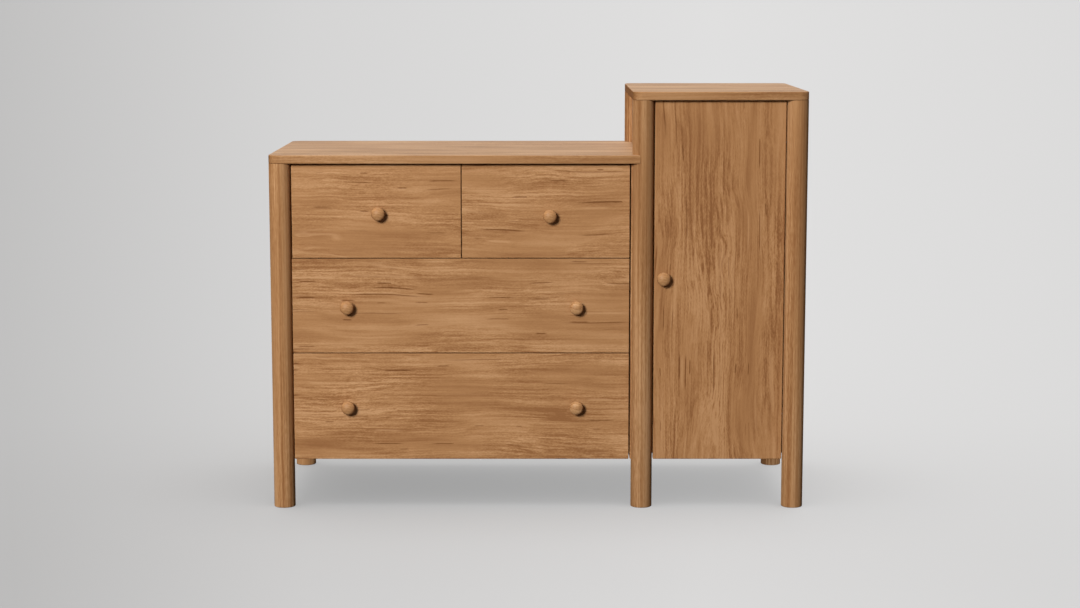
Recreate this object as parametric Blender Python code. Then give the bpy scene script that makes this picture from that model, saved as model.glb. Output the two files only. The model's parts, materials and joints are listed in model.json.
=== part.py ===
"""Tall dresser: a low chest of four drawers and a tall one-door cabinet that share round posts.

Lengths are metres, +Z is up, the front faces -Y and the origin is the middle of the footprint on the floor.
"""
import math

import bmesh
import bpy
from mathutils import Vector

# Overall sizes, read from the photograph
WIDTH = 1.250
DEPTH = 0.520
LOW_HEIGHT = 0.832
TALL_HEIGHT = 0.978
LEG_HEIGHT = 0.1142
POST_DIAMETER = 0.050
MIDDLE_POST_SHARE = 0.7027
TOP_THICKNESS = 0.0198

# Drawer fronts and door
FRONT_THICKNESS = 0.020
FRONT_SETBACK = 0.017
FRONT_GAP = 0.0015
POST_GAP = 0.0008
SMALL_LEFT_GAP = 0.0022
STRIP_GAP = 0.0027
DOOR_GAP = 0.0018
TOP_GAP = 0.003
DOOR_TOP_GAP = 0.002
FRONT_EASING = 0.0018
DRAWER_SHARES = (0.3645, 0.3210, 0.3145)

# Turned knobs; the small drawers' knobs sit to the right of and under the middle of their fronts
KNOB_DIAMETER = 0.032
KNOB_LENGTH = 0.026
KNOB_HALF_DEPTH = 0.0096
KNOB_NECK_RADIUS = 0.0080
KNOB_FOOT_RADIUS = 0.0088
KNOB_TENON_RADIUS = 0.0045
KNOB_TENON_LENGTH = 0.013
WIDE_KNOB_SPACING = 0.535
LOWER_KNOB_DROP = 0.0008
MIDDLE_KNOB_DROP = 0.0027
SMALL_LEFT_KNOB_SHIFT = (0.0048, -0.0045)
SMALL_RIGHT_KNOB_SHIFT = (0.0093, -0.0101)
DOOR_KNOB_INSET = 0.0215
DOOR_KNOB_ABOVE_MIDDLE = 0.0085

# Case boards and their joints
SIDE_THICKNESS = 0.016
BOARD_THICKNESS = 0.016
BACK_THICKNESS = 0.008
SIDE_GROOVE = 0.010
BACK_GROOVE = 0.008
HOUSING = 0.005
BOTTOM_RAISE = 0.008
PANEL_STRIP = 0.0027
STRIP_SETBACK = 0.0015
POST_TENON_RADIUS = 0.012
POST_TENON_LENGTH = 0.012
FOOT_EASING = 0.002
TOP_EASING = 0.002
SHELF_SETBACK = 0.030
SHELF_NAMES = ("lower_shelf", "upper_shelf")

# Drawer boxes
FRONT_OVERHANG = 0.012
BOX_LIFT = 0.030
BOX_DROP = 0.035
BOX_REAR_ROOM = 0.030
DRAWER_SIDE = 0.012
DRAWER_BACK = 0.012
DRAWER_BOTTOM = 0.006
BOTTOM_GROOVE = 0.005
BOTTOM_GROOVE_HEIGHT = 0.010
BACK_INSET = 0.008
DOVETAIL_LENGTH = 0.009
DOVETAIL_NECK = 0.0060
DOVETAIL_TIP = 0.0084
RUNNER_HEIGHT = 0.014
RUNNER_BITE = 0.006

# Door hinges and catch
HINGE_FROM_EDGE = 0.020
HINGE_FROM_FACE = 0.0085
HINGE_FROM_END = 0.100
ARM_WIDTH = 0.008
ARM_THICKNESS = 0.004
PINTLE_RADIUS = 0.003
PINTLE_LENGTH = 0.014
FOOT_LENGTH = 0.045
FOOT_HEIGHT = 0.040
FOOT_THICKNESS = 0.003
CATCH_SIZE = (0.046, 0.014, 0.013)
CATCH_FROM_EDGE = 0.030
STRIKE_SIZE = (0.036, 0.0015, 0.018)

# Clearances: FIT lies between pieces that touch, RUN between pieces that slide
FIT = 0.0003
RUN = 0.0008
PIN_RUN = 0.0001
CUT_MARGIN = 0.010

# Facets, and the angles between faces above which an edge stays sharp or is eased
POST_SEGMENTS = 48
KNOB_SEGMENTS = 28
HOLE_SEGMENTS = 20
KNOB_RINGS = 10
CORNER_SEGMENTS = 10
EASING_SEGMENTS = 2
SHARP_ANGLE = math.radians(40)
EASED_ANGLE = math.radians(50)

# Positions that follow from the sizes
POST_RADIUS = POST_DIAMETER / 2
KNOB_PROUD = KNOB_LENGTH - FRONT_SETBACK
FRONT_Y = -(DEPTH - KNOB_PROUD) / 2
REAR_Y = FRONT_Y + DEPTH
FRONT_AXIS_Y = FRONT_Y + POST_RADIUS
REAR_AXIS_Y = REAR_Y - POST_RADIUS
INSIDE_FRONT_Y = FRONT_Y + POST_DIAMETER + FIT
INSIDE_REAR_Y = REAR_Y - POST_DIAMETER - FIT
BACK_FACE_Y = REAR_AXIS_Y - BACK_THICKNESS / 2
LEFT_X = -WIDTH / 2 + POST_RADIUS
RIGHT_X = WIDTH / 2 - POST_RADIUS
MIDDLE_X = LEFT_X + (RIGHT_X - LEFT_X) * MIDDLE_POST_SHARE
LOW_UNDER = LOW_HEIGHT - TOP_THICKNESS
TALL_UNDER = TALL_HEIGHT - TOP_THICKNESS
FACE_Y = FRONT_Y + FRONT_SETBACK
FRONT_BACK_Y = FACE_Y + FRONT_THICKNESS
HALF_SIDE = SIDE_THICKNESS / 2
CHEST_LEFT_X = LEFT_X + HALF_SIDE
CHEST_RIGHT_X = MIDDLE_X - POST_RADIUS - PANEL_STRIP
CABINET_LEFT_X = MIDDLE_X + HALF_SIDE
CABINET_RIGHT_X = RIGHT_X - HALF_SIDE
CHEST_MIDDLE_X = (LEFT_X + MIDDLE_X) / 2
DRAWER_LEFT_X = LEFT_X + POST_RADIUS + POST_GAP
SMALL_LEFT_X = LEFT_X + POST_RADIUS + SMALL_LEFT_GAP
DRAWER_RIGHT_X = CHEST_RIGHT_X - STRIP_GAP
DOOR_LEFT_X = MIDDLE_X + POST_RADIUS + DOOR_GAP
DOOR_RIGHT_X = RIGHT_X - POST_RADIUS - DOOR_GAP
BOTTOM_Z = LEG_HEIGHT + BOTTOM_RAISE
BOTTOM_TOP_Z = BOTTOM_Z + BOARD_THICKNESS
DRAWER_BACK_Y = BACK_FACE_Y - BOX_REAR_ROOM


def clear_scene():
    for item in list(bpy.data.objects):
        bpy.data.objects.remove(item, do_unlink=True)


def make_material(name, colour, roughness, metallic=0.0):
    material = bpy.data.materials.new(name)
    material.use_nodes = True
    shader = material.node_tree.nodes["Principled BSDF"]
    shader.inputs["Base Color"].default_value = (*colour, 1.0)
    shader.inputs["Roughness"].default_value = roughness
    shader.inputs["Metallic"].default_value = metallic
    material.diffuse_color = (*colour, 1.0)
    return material


def add_object(name, shape, location, material, smooth=False):
    mesh = bpy.data.meshes.new(name)
    bmesh.ops.recalc_face_normals(shape, faces=shape.faces)
    shape.to_mesh(mesh)
    shape.free()
    if smooth:
        mesh.shade_smooth()
        mesh.set_sharp_from_angle(angle=SHARP_ANGLE)
    item = bpy.data.objects.new(name, mesh)
    item.location = location
    bpy.context.collection.objects.link(item)
    if material:
        mesh.materials.append(material)
    return item


def add_board(name, low, high, material=None):
    """A box between two corners, with its origin in its middle."""
    low = Vector(low)
    high = Vector(high)
    shape = bmesh.new()
    bmesh.ops.create_cube(shape, size=1.0)
    bmesh.ops.scale(shape, vec=high - low, verts=shape.verts)
    return add_object(name, shape, (low + high) / 2, material)


def add_prism(name, outline, low_z, high_z, material=None, smooth=False):
    """A plan outline raised between two heights, with its origin at the outline's first point."""
    start_x, start_y = outline[0]
    shape = bmesh.new()
    floor = [shape.verts.new((x - start_x, y - start_y, 0.0)) for x, y in outline]
    face = shape.faces.new(floor)
    raised = bmesh.ops.extrude_face_region(shape, geom=[face])["geom"]
    corners = [item for item in raised if isinstance(item, bmesh.types.BMVert)]
    bmesh.ops.translate(shape, vec=(0.0, 0.0, high_z - low_z), verts=corners)
    return add_object(name, shape, (start_x, start_y, low_z), material, smooth)


def add_turned(name, profile, location, material=None, segments=POST_SEGMENTS):
    """A lathe shape about +Z from (radius, height) pairs, lowest first. A radius of 0 ends in a point."""
    shape = bmesh.new()
    rings = []
    for radius, height in profile:
        if radius == 0:
            rings.append([shape.verts.new((0.0, 0.0, height))])
            continue
        turns = [math.tau * step / segments for step in range(segments)]
        ring = [shape.verts.new((radius * math.cos(a), radius * math.sin(a), height)) for a in turns]
        rings.append(ring)
    for lower, upper in zip(rings, rings[1:]):
        for step in range(segments):
            ahead = (step + 1) % segments
            corners = [lower[step % len(lower)], lower[ahead % len(lower)]]
            corners += [upper[ahead % len(upper)], upper[step % len(upper)]]
            shape.faces.new(list(dict.fromkeys(corners)))
    for ring in (rings[0], rings[-1]):
        if len(ring) > 1:
            shape.faces.new(ring)
    return add_object(name, shape, location, material, smooth=True)


def ease_edges(item, width):
    """Rounds the long edges of a piece as sandpaper or a small cutter does."""
    bevel = item.modifiers.new("eased_edges", "BEVEL")
    bevel.width = width
    bevel.segments = EASING_SEGMENTS
    bevel.limit_method = "ANGLE"
    bevel.angle_limit = EASED_ANGLE
    return item


def combine(item, tool, operation):
    tool.hide_render = True
    tool.display_type = "WIRE"
    modifier = item.modifiers.new(tool.name, "BOOLEAN")
    modifier.operation = operation
    modifier.solver = "EXACT"
    modifier.object = tool


def cut_box(item, label, low, high):
    combine(item, add_board(f"cut_{item.name}_{label}", low, high), "DIFFERENCE")


def cut_prism(item, label, outline, low_z, high_z):
    combine(item, add_prism(f"cut_{item.name}_{label}", outline, low_z, high_z), "DIFFERENCE")


def cut_round(item, label, centre, radius, low_z, high_z, segments=POST_SEGMENTS):
    """A round vertical hole or a cope about a vertical axis."""
    profile = [(radius, low_z), (radius, high_z)]
    tool = add_turned(f"cut_{item.name}_{label}", profile, (*centre, 0.0), None, segments)
    combine(item, tool, "DIFFERENCE")


def attach(items, parent_name, location):
    """Hangs the pieces of one moving body on an empty that stands on its joint axis."""
    holder = bpy.data.objects.new(parent_name, None)
    holder.location = location
    bpy.context.collection.objects.link(holder)
    for item in items:
        item.parent = holder
        item.location = item.location - holder.location


def rounded_outline(low, high, radius):
    """A rectangle in plan with round corners, counter-clockwise."""
    (x0, y0), (x1, y1) = low, high
    centres = [(x1 - radius, y0 + radius, -90), (x1 - radius, y1 - radius, 0)]
    centres += [(x0 + radius, y1 - radius, 90), (x0 + radius, y0 + radius, 180)]
    outline = []
    for x, y, start in centres:
        for step in range(CORNER_SEGMENTS + 1):
            angle = math.radians(start + 90 * step / CORNER_SEGMENTS)
            outline.append((x + radius * math.cos(angle), y + radius * math.sin(angle)))
    return outline


clear_scene()
OAK = make_material("oak", (0.40, 0.22, 0.095), 0.50)
BOX_WOOD = make_material("drawer_box_wood", (0.62, 0.45, 0.26), 0.55)
PANEL_WOOD = make_material("panel_wood", (0.50, 0.33, 0.17), 0.60)
STEEL = make_material("steel", (0.55, 0.55, 0.56), 0.35, 1.0)
CATCH_PLASTIC = make_material("catch_plastic", (0.05, 0.045, 0.04), 0.50)


# Posts
def add_post(name, x, y, foot_z, shoulder_z):
    """A turned post: eased foot, plain shaft and a round tenon that enters the top."""
    profile = []
    for step in range(EASING_SEGMENTS + 1):
        angle = math.pi / 2 * step / EASING_SEGMENTS
        drawn_in = FOOT_EASING * (1 - math.sin(angle))
        profile.append((POST_RADIUS - drawn_in, foot_z + FOOT_EASING * (1 - math.cos(angle))))
    profile += [
        (POST_RADIUS, shoulder_z - FIT),
        (POST_TENON_RADIUS, shoulder_z - FIT),
        (POST_TENON_RADIUS, shoulder_z + POST_TENON_LENGTH),
    ]
    return add_turned(name, profile, (x, y, 0.0), OAK)


def groove_for_side(post, toward_rear, top_z):
    """A stopped groove up the post's inner face that takes the edge of a side panel."""
    x, y, _ = post.location
    bottom = POST_RADIUS - SIDE_GROOVE
    outer = POST_RADIUS + CUT_MARGIN
    near, far = (bottom, outer) if toward_rear else (-outer, -bottom)
    low = (x - HALF_SIDE - FIT, y + near, LEG_HEIGHT - FIT)
    high = (x + HALF_SIDE + FIT, y + far, top_z)
    cut_box(post, "side_groove", low, high)


def groove_for_back(post, side, top_z):
    """A stopped groove that takes the edge of a back panel; side is -1 for left and 1 for right."""
    x, y, _ = post.location
    bottom = x + side * (POST_RADIUS - BACK_GROOVE)
    outer = x + side * (POST_RADIUS + CUT_MARGIN)
    half = BACK_THICKNESS / 2 + FIT
    low = (min(bottom, outer), y - half, LEG_HEIGHT - FIT)
    high = (max(bottom, outer), y + half, top_z)
    cut_box(post, f"back_groove_{'left' if side < 0 else 'right'}", low, high)


front_post_left = add_post("front_post_left", LEFT_X, FRONT_AXIS_Y, 0.0, LOW_UNDER)
rear_post_left = add_post("rear_post_left", LEFT_X, REAR_AXIS_Y, 0.0, LOW_UNDER)
front_post_middle = add_post("front_post_middle", MIDDLE_X, FRONT_AXIS_Y, 0.0, TALL_UNDER)
rear_post_middle = add_post("rear_post_middle", MIDDLE_X, REAR_AXIS_Y, LEG_HEIGHT, TALL_UNDER)
front_post_right = add_post("front_post_right", RIGHT_X, FRONT_AXIS_Y, 0.0, TALL_UNDER)
rear_post_right = add_post("rear_post_right", RIGHT_X, REAR_AXIS_Y, 0.0, TALL_UNDER)

for post in (front_post_left, front_post_middle, front_post_right):
    groove_for_side(post, True, LOW_UNDER if post is front_post_left else TALL_UNDER)
for post in (rear_post_left, rear_post_middle, rear_post_right):
    groove_for_side(post, False, LOW_UNDER if post is rear_post_left else TALL_UNDER)
groove_for_back(rear_post_left, 1, LOW_UNDER)
groove_for_back(rear_post_middle, -1, LOW_UNDER)
groove_for_back(rear_post_middle, 1, TALL_UNDER)
groove_for_back(rear_post_right, -1, TALL_UNDER)

# The chest's right-hand panel lies in a rebate in the middle post, so that only a strip of its edge shows
strip_front_y = FACE_Y + STRIP_SETBACK
cut_box(
    front_post_middle,
    "panel_rebate",
    (MIDDLE_X - POST_DIAMETER, strip_front_y - FIT, LEG_HEIGHT - FIT),
    (MIDDLE_X - HALF_SIDE, FRONT_AXIS_Y + POST_DIAMETER, LOW_UNDER),
)

# Side panels
side_front_y = INSIDE_FRONT_Y - SIDE_GROOVE
side_rear_y = INSIDE_REAR_Y + SIDE_GROOVE


def add_side_panel(name, x, top_z):
    low = (x - HALF_SIDE, side_front_y, LEG_HEIGHT)
    return add_board(name, low, (x + HALF_SIDE, side_rear_y, top_z - FIT), OAK)


left_side_panel = add_side_panel("left_side_panel", LEFT_X, LOW_UNDER)
cabinet_left_panel = add_side_panel("cabinet_left_panel", MIDDLE_X, TALL_UNDER)
right_side_panel = add_side_panel("right_side_panel", RIGHT_X, TALL_UNDER)
chest_right_panel = add_board(
    "chest_right_panel",
    (CHEST_RIGHT_X, strip_front_y, LEG_HEIGHT),
    (MIDDLE_X - HALF_SIDE - FIT, INSIDE_REAR_Y, LOW_UNDER - FIT),
    OAK,
)

# Tops: boards with round corners that follow the posts, drilled for the post tenons
low_top_end = MIDDLE_X - HALF_SIDE - FIT
low_outline = rounded_outline((-WIDTH / 2, FRONT_Y), (MIDDLE_X + POST_DIAMETER, REAR_Y), POST_RADIUS)
low_top = ease_edges(add_prism("low_top", low_outline, LOW_UNDER, LOW_HEIGHT, OAK, True), TOP_EASING)
tall_outline = rounded_outline((MIDDLE_X - POST_RADIUS, FRONT_Y), (WIDTH / 2, REAR_Y), POST_RADIUS)
tall_top = ease_edges(add_prism("tall_top", tall_outline, TALL_UNDER, TALL_HEIGHT, OAK, True), TOP_EASING)

# The low top stops at the cabinet's side and is coped round both middle posts
cut_box(
    low_top,
    "end",
    (low_top_end, FRONT_Y - CUT_MARGIN, LOW_UNDER - CUT_MARGIN),
    (MIDDLE_X + POST_DIAMETER + CUT_MARGIN, REAR_Y + CUT_MARGIN, LOW_HEIGHT + CUT_MARGIN),
)
for label, y in (("front_cope", FRONT_AXIS_Y), ("rear_cope", REAR_AXIS_Y)):
    centre = (MIDDLE_X, y)
    cut_round(low_top, label, centre, POST_RADIUS + FIT, LOW_UNDER - CUT_MARGIN, LOW_HEIGHT + CUT_MARGIN)


def drill_for_tenons(top, under_z, places):
    for number, (x, y) in enumerate(places):
        depth = under_z + POST_TENON_LENGTH + FIT
        cut_round(top, f"tenon_{number}", (x, y), POST_TENON_RADIUS + FIT, under_z - CUT_MARGIN, depth)


post_rows = (FRONT_AXIS_Y, REAR_AXIS_Y)
drill_for_tenons(low_top, LOW_UNDER, [(LEFT_X, y) for y in post_rows])
drill_for_tenons(tall_top, TALL_UNDER, [(x, y) for x in (MIDDLE_X, RIGHT_X) for y in post_rows])


# Backs
def add_back(name, left_post_x, right_post_x, top_z):
    reach = POST_RADIUS - BACK_GROOVE + FIT
    low = (left_post_x + reach, BACK_FACE_Y, LEG_HEIGHT)
    high = (right_post_x - reach, BACK_FACE_Y + BACK_THICKNESS, top_z - FIT)
    return add_board(name, low, high, PANEL_WOOD)


chest_back = add_back("chest_back", LEFT_X, MIDDLE_X, LOW_UNDER)
cabinet_back = add_back("cabinet_back", MIDDLE_X, RIGHT_X, TALL_UNDER)


# Horizontal boards, housed in the side panels and coped round the rear posts
def add_housed_board(name, sides, left_x, right_x, bottom_z, posts, front_y=INSIDE_FRONT_Y):
    top_z = bottom_z + BOARD_THICKNESS
    rear_y = BACK_FACE_Y - FIT
    low = (left_x - HOUSING + FIT, front_y, bottom_z)
    board = add_board(name, low, (right_x + HOUSING - FIT, rear_y, top_z), PANEL_WOOD)
    for number, x in enumerate(posts):
        cut_round(
            board,
            f"post_{number}",
            (x, REAR_AXIS_Y),
            POST_RADIUS + FIT,
            bottom_z - CUT_MARGIN,
            top_z + CUT_MARGIN,
        )
    for side, x in zip(sides, (left_x, right_x)):
        housing_low = (x - HOUSING, front_y - FIT, bottom_z - FIT)
        cut_box(side, name, housing_low, (x + HOUSING, rear_y + CUT_MARGIN, top_z + FIT))
    return board


chest_sides = (left_side_panel, chest_right_panel)
cabinet_sides = (cabinet_left_panel, right_side_panel)
chest_posts = (LEFT_X, MIDDLE_X)
cabinet_posts = (MIDDLE_X, RIGHT_X)
add_housed_board("chest_bottom", chest_sides, CHEST_LEFT_X, CHEST_RIGHT_X, BOTTOM_Z, chest_posts)
add_housed_board("cabinet_bottom", cabinet_sides, CABINET_LEFT_X, CABINET_RIGHT_X, BOTTOM_Z, cabinet_posts)

shelf_spacing = (TALL_UNDER - BOTTOM_TOP_Z) / (len(SHELF_NAMES) + 1)
for number, shelf in enumerate(SHELF_NAMES, start=1):
    add_housed_board(
        shelf,
        cabinet_sides,
        CABINET_LEFT_X,
        CABINET_RIGHT_X,
        BOTTOM_TOP_Z + shelf_spacing * number - BOARD_THICKNESS / 2,
        cabinet_posts,
        INSIDE_FRONT_Y + SHELF_SETBACK,
    )

# Heights of the drawer fronts, lowest first
front_room = LOW_UNDER - TOP_GAP - LEG_HEIGHT - 2 * FRONT_GAP
front_levels = []
level_z = LEG_HEIGHT
for share in DRAWER_SHARES:
    height = front_room * share / sum(DRAWER_SHARES)
    front_levels.append((level_z, level_z + height))
    level_z += height + FRONT_GAP

# The shelf under the small drawers carries the divider between them
drawer_shelf_z = front_levels[2][0] - FRONT_GAP / 2 - BOARD_THICKNESS / 2
drawer_shelf = add_housed_board(
    "drawer_shelf", chest_sides, CHEST_LEFT_X, CHEST_RIGHT_X, drawer_shelf_z, chest_posts
)
divider_foot_z = drawer_shelf_z + BOARD_THICKNESS - HOUSING
half_divider = BOARD_THICKNESS / 2
add_board(
    "drawer_divider",
    (CHEST_MIDDLE_X - half_divider, INSIDE_FRONT_Y, divider_foot_z + FIT),
    (CHEST_MIDDLE_X + half_divider, BACK_FACE_Y - FIT, LOW_UNDER - FIT),
    PANEL_WOOD,
)
cut_box(
    drawer_shelf,
    "divider",
    (CHEST_MIDDLE_X - half_divider - FIT, INSIDE_FRONT_Y - CUT_MARGIN, divider_foot_z),
    (CHEST_MIDDLE_X + half_divider + FIT, BACK_FACE_Y + CUT_MARGIN, divider_foot_z + CUT_MARGIN),
)


# Knobs
def add_knob(name, x, z, front):
    """A turned knob: flattened ball, tapered neck and a tenon in a blind hole in the front."""
    middle = KNOB_LENGTH - KNOB_HALF_DEPTH
    radius = KNOB_DIAMETER / 2
    first_angle = math.asin(KNOB_NECK_RADIUS / radius)
    profile = [
        (KNOB_TENON_RADIUS, -KNOB_TENON_LENGTH),
        (KNOB_TENON_RADIUS, FIT),
        (KNOB_FOOT_RADIUS, FIT),
    ]
    for ring in range(KNOB_RINGS):
        angle = first_angle + (math.pi - first_angle) * ring / KNOB_RINGS
        profile.append((radius * math.sin(angle), middle - KNOB_HALF_DEPTH * math.cos(angle)))
    profile.append((0, KNOB_LENGTH))
    knob = add_turned(name, profile, (x, FACE_Y, z), OAK, KNOB_SEGMENTS)
    knob.rotation_euler = (math.pi / 2, 0.0, 0.0)
    hole_depth = KNOB_TENON_LENGTH + FIT
    hole = [(KNOB_TENON_RADIUS + FIT, -hole_depth), (KNOB_TENON_RADIUS + FIT, CUT_MARGIN)]
    tool = add_turned(f"cut_{front.name}_{name}", hole, (x, FACE_Y, z), None, HOLE_SEGMENTS)
    tool.rotation_euler = (math.pi / 2, 0.0, 0.0)
    combine(front, tool, "DIFFERENCE")
    return knob


# Drawers
def dovetail_outline(x, shoulder_y, length, slack):
    """The plan of a sliding dovetail that points to the front from a shoulder."""
    neck = DOVETAIL_NECK / 2 + slack
    tip = DOVETAIL_TIP / 2 + slack
    tip_y = shoulder_y - length
    return [(x - neck, shoulder_y), (x - tip, tip_y), (x + tip, tip_y), (x + neck, shoulder_y)]


def add_drawer(name, left_x, right_x, level, knob_places, left_support, right_support):
    """A drawer with its runners: sliding dovetails at the front, housed back, bottom in grooves."""
    low_z, high_z = level
    box_low = low_z + BOX_LIFT
    box_high = high_z - BOX_DROP
    front = add_board(f"{name}_front", (left_x, FACE_Y, low_z), (right_x, FRONT_BACK_Y, high_z), OAK)
    ease_edges(front, FRONT_EASING)
    pieces = [front]

    outer = (left_x + FRONT_OVERHANG, right_x - FRONT_OVERHANG)
    inner = (outer[0] + DRAWER_SIDE, outer[1] - DRAWER_SIDE)
    shoulder_y = FRONT_BACK_Y + FIT
    floor_low = box_low + BOTTOM_GROOVE_HEIGHT
    floor_high = floor_low + DRAWER_BOTTOM
    back_y = DRAWER_BACK_Y - BACK_INSET - DRAWER_BACK
    groove_stop_y = shoulder_y + BOTTOM_GROOVE
    runner_z = (box_low + box_high) / 2
    runner_low = runner_z - RUNNER_HEIGHT / 2
    runner_high = runner_z + RUNNER_HEIGHT / 2
    housing = BOTTOM_GROOVE - FIT

    for side_name, outer_x, inner_x, support_x in (
        ("left", outer[0], inner[0], left_support),
        ("right", outer[1], inner[1], right_support),
    ):
        inward = 1 if side_name == "left" else -1
        centre_x = (outer_x + inner_x) / 2
        x0, x1 = sorted((outer_x, inner_x))
        tail = dovetail_outline(centre_x, shoulder_y, DOVETAIL_LENGTH, 0.0)
        outline = [(x0, shoulder_y), *tail, (x1, shoulder_y), (x1, DRAWER_BACK_Y), (x0, DRAWER_BACK_Y)]
        side = add_prism(f"{name}_{side_name}_side", outline, box_low, box_high, BOX_WOOD)
        pieces.append(side)
        socket = dovetail_outline(centre_x, shoulder_y + FIT, DOVETAIL_LENGTH + 2 * FIT, FIT)
        cut_prism(front, f"{side_name}_dovetail", socket, low_z - CUT_MARGIN, box_high + FIT)

        # Groove for the bottom, housing for the back and the long groove that rides on the runner
        deep = inner_x - inward * BOTTOM_GROOVE
        x0, x1 = sorted((deep, inner_x + inward * CUT_MARGIN))
        low = (x0, groove_stop_y - FIT, floor_low - FIT)
        cut_box(side, "bottom", low, (x1, DRAWER_BACK_Y + CUT_MARGIN, floor_high + FIT))
        low = (x0, back_y - FIT, floor_high)
        cut_box(side, "back", low, (x1, back_y + DRAWER_BACK + FIT, box_high + CUT_MARGIN))
        deep = outer_x + inward * (RUNNER_BITE + RUN)
        x0, x1 = sorted((deep, outer_x - inward * CUT_MARGIN))
        low = (x0, INSIDE_FRONT_Y - FIT, runner_low - RUN)
        cut_box(side, "runner", low, (x1, DRAWER_BACK_Y + CUT_MARGIN, runner_high + FIT))

        x0, x1 = sorted((support_x + inward * FIT, outer_x + inward * RUNNER_BITE))
        low = (x0, INSIDE_FRONT_Y, runner_low)
        add_board(f"{name}_{side_name}_runner", low, (x1, INSIDE_REAR_Y, runner_high), BOX_WOOD)

    pieces.append(
        add_board(
            f"{name}_back",
            (inner[0] - housing, back_y, floor_high + FIT),
            (inner[1] + housing, back_y + DRAWER_BACK, box_high),
            BOX_WOOD,
        )
    )

    # The bottom has a tongue for the groove in the front, and its edges lie in the grooves of the sides
    tongue_y = FRONT_BACK_Y - BOTTOM_GROOVE
    slot = ((inner[0], tongue_y, floor_low - FIT), (inner[1], FRONT_BACK_Y + CUT_MARGIN, floor_high + FIT))
    cut_box(front, "bottom", *slot)
    outline = [
        (inner[0] + FIT, tongue_y + FIT),
        (inner[1] - FIT, tongue_y + FIT),
        (inner[1] - FIT, groove_stop_y),
        (inner[1] + housing, groove_stop_y),
        (inner[1] + housing, DRAWER_BACK_Y),
        (inner[0] - housing, DRAWER_BACK_Y),
        (inner[0] - housing, groove_stop_y),
        (inner[0] + FIT, groove_stop_y),
    ]
    pieces.append(add_prism(f"{name}_bottom", outline, floor_low, floor_high, PANEL_WOOD))
    for knob_name, knob_x, shift_z in knob_places:
        knob_z = (low_z + high_z) / 2 + shift_z
        pieces.append(add_knob(f"{name}_{knob_name}", knob_x, knob_z, front))
    attach(pieces, f"{name}_slide", ((left_x + right_x) / 2, FACE_Y, (low_z + high_z) / 2))


half_spacing = WIDE_KNOB_SPACING / 2
chest_walls = (CHEST_LEFT_X, CHEST_RIGHT_X)
wide_drawers = (("lower_drawer", LOWER_KNOB_DROP), ("middle_drawer", MIDDLE_KNOB_DROP))
for number, (drawer, knob_drop) in enumerate(wide_drawers):
    wide_knobs = [
        ("left_knob", CHEST_MIDDLE_X - half_spacing, -knob_drop),
        ("right_knob", CHEST_MIDDLE_X + half_spacing, -knob_drop),
    ]
    add_drawer(drawer, DRAWER_LEFT_X, DRAWER_RIGHT_X, front_levels[number], wide_knobs, *chest_walls)
left_end = CHEST_MIDDLE_X - FRONT_GAP / 2
right_end = CHEST_MIDDLE_X + FRONT_GAP / 2
left_walls = (CHEST_LEFT_X, CHEST_MIDDLE_X - half_divider)
right_walls = (CHEST_MIDDLE_X + half_divider, CHEST_RIGHT_X)
shift_x, shift_z = SMALL_LEFT_KNOB_SHIFT
small_left_knob = [("knob", (SMALL_LEFT_X + left_end) / 2 + shift_x, shift_z)]
shift_x, shift_z = SMALL_RIGHT_KNOB_SHIFT
small_right_knob = [("knob", (right_end + DRAWER_RIGHT_X) / 2 + shift_x, shift_z)]
add_drawer("small_left_drawer", SMALL_LEFT_X, left_end, front_levels[2], small_left_knob, *left_walls)
add_drawer("small_right_drawer", right_end, DRAWER_RIGHT_X, front_levels[2], small_right_knob, *right_walls)

# Door
door_top_z = TALL_UNDER - DOOR_TOP_GAP
hinge_x = DOOR_RIGHT_X - HINGE_FROM_EDGE
hinge_y = FACE_Y + HINGE_FROM_FACE
door_panel = add_board(
    "door_panel", (DOOR_LEFT_X, FACE_Y, LEG_HEIGHT), (DOOR_RIGHT_X, FRONT_BACK_Y, door_top_z), OAK
)
ease_edges(door_panel, FRONT_EASING)
door_middle_z = (LEG_HEIGHT + door_top_z) / 2
door_knob_z = door_middle_z + DOOR_KNOB_ABOVE_MIDDLE
door_knob = add_knob("door_knob", DOOR_LEFT_X + DOOR_KNOB_INSET, door_knob_z, door_panel)


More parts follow.
